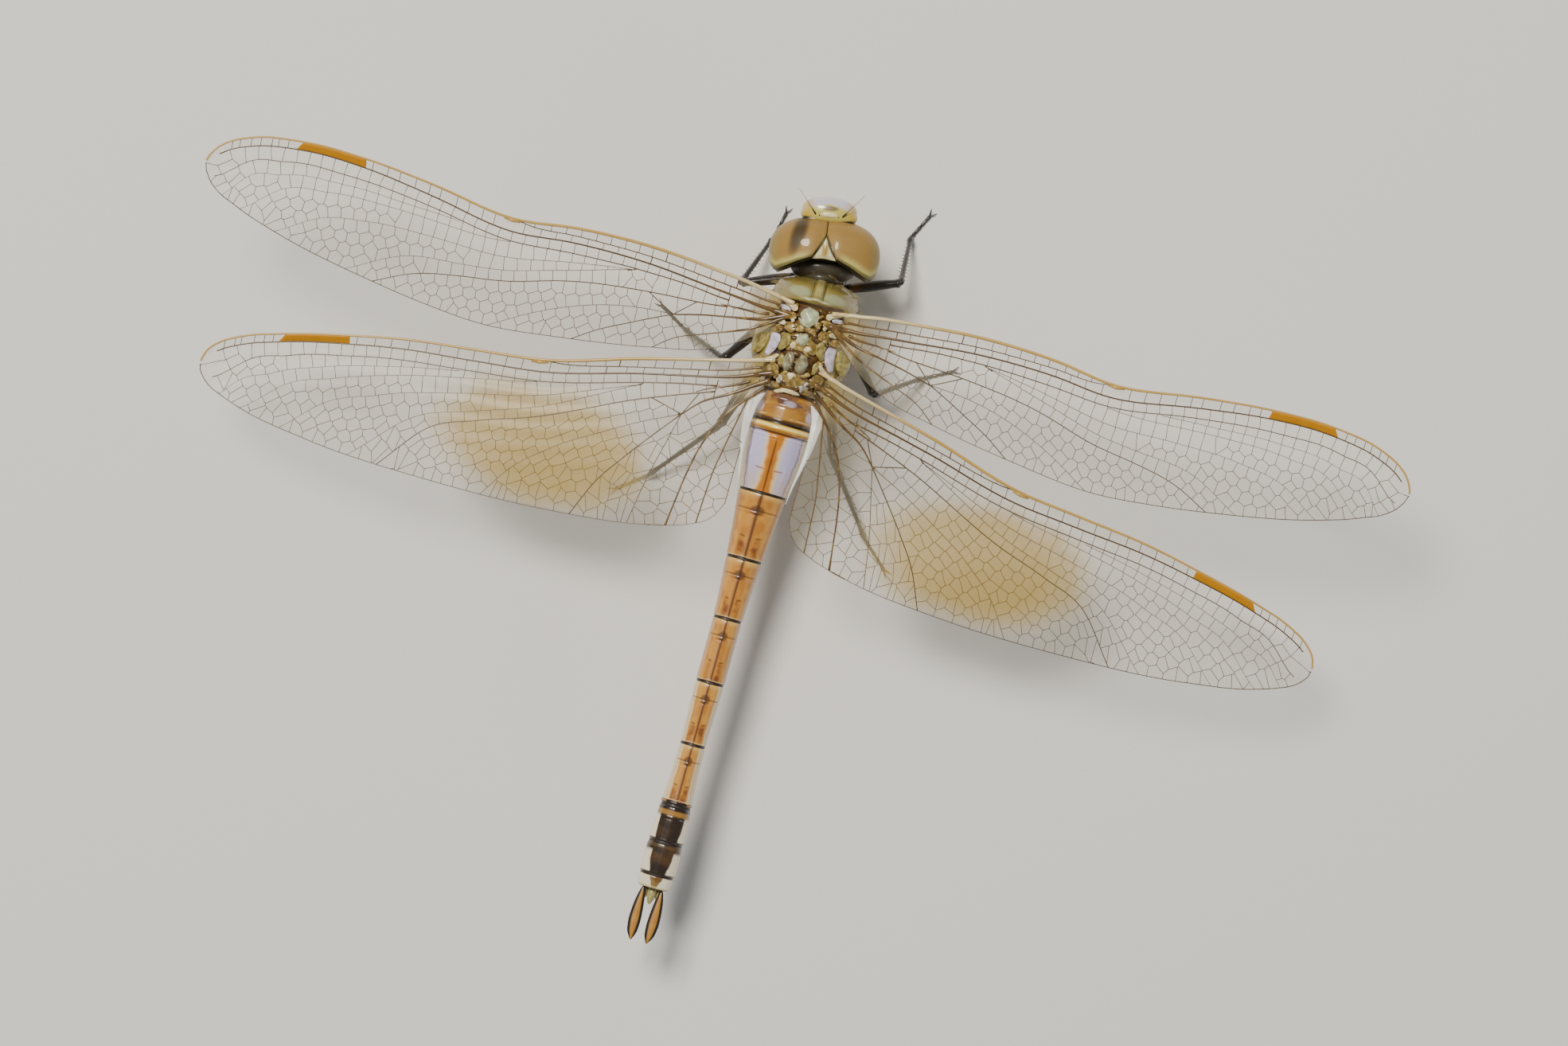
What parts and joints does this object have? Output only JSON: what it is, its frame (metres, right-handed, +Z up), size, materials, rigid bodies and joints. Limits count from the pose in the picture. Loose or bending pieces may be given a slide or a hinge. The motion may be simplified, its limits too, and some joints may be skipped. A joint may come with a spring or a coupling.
{
  "type": "dragonfly",
  "caption": "Life-size still model of a large dragonfly, a vagrant emperor, standing on its feet with its clear wings spread flat and its slim abdomen straight behind.",
  "frame": {"origin": "centre of the whole insect's bounding box, on the floor under its feet", "axes": "+Y towards the head, +X towards the insect's right wings, +Z up from the floor"},
  "size_m": [0.1026, 0.066, 0.0161],
  "materials": {
    "eye": "glossy bronze brown above, olive yellow at the rim",
    "occiput": "satin cream cuticle",
    "face": "satin pale yellow cuticle",
    "thorax": "satin olive brown cuticle with paler wing-base plates",
    "abdomen": "satin ochre with lavender sides, dark lines and a dark tail",
    "cercus": "satin chestnut",
    "leg": "satin black",
    "wing_membrane": "clear glossy film, amber in the hindwing",
    "wing_vein": "dark brown veins, yellow along the leading edge",
    "pterostigma": "ochre orange cell near each wing tip"
  },
  "bodies": {
    "root": {"eye_left": "eye", "eye_right": "eye", "head": "occiput", "frons": "face", "clypeus": "face", "labrum": "face", "labium": "face", "antenna_left": "leg", "antenna_right": "leg", "prothorax": "thorax", "thorax": "thorax", "abdomen_01": "abdomen", "abdomen_02": "abdomen", "abdomen_03": "abdomen", "abdomen_04": "abdomen", "abdomen_05": "abdomen", "abdomen_06": "abdomen", "abdomen_07": "abdomen", "abdomen_08": "abdomen", "abdomen_09": "abdomen", "abdomen_10": "abdomen", "cercus_left": "cercus", "cercus_right": "cercus", "ovipositor": "cercus", "forewing_left": "wing_membrane", "forewing_right": "wing_membrane", "hindwing_left": "wing_membrane", "hindwing_right": "wing_membrane", "leg_front_left_femur": "leg", "leg_front_left_tibia": "leg", "leg_front_left_tarsus": "leg", "leg_front_right_femur": "leg", "leg_front_right_tibia": "leg", "leg_front_right_tarsus": "leg", "leg_mid_left_femur": "leg", "leg_mid_left_tibia": "leg", "leg_mid_left_tarsus": "leg", "leg_mid_right_femur": "leg", "leg_mid_right_tibia": "leg", "leg_mid_right_tarsus": "leg", "leg_hind_left_femur": "leg", "leg_hind_left_tibia": "leg", "leg_hind_left_tarsus": "leg", "leg_hind_right_femur": "leg", "leg_hind_right_tibia": "leg", "leg_hind_right_tarsus": "leg"}
  },
  "joints": []
}
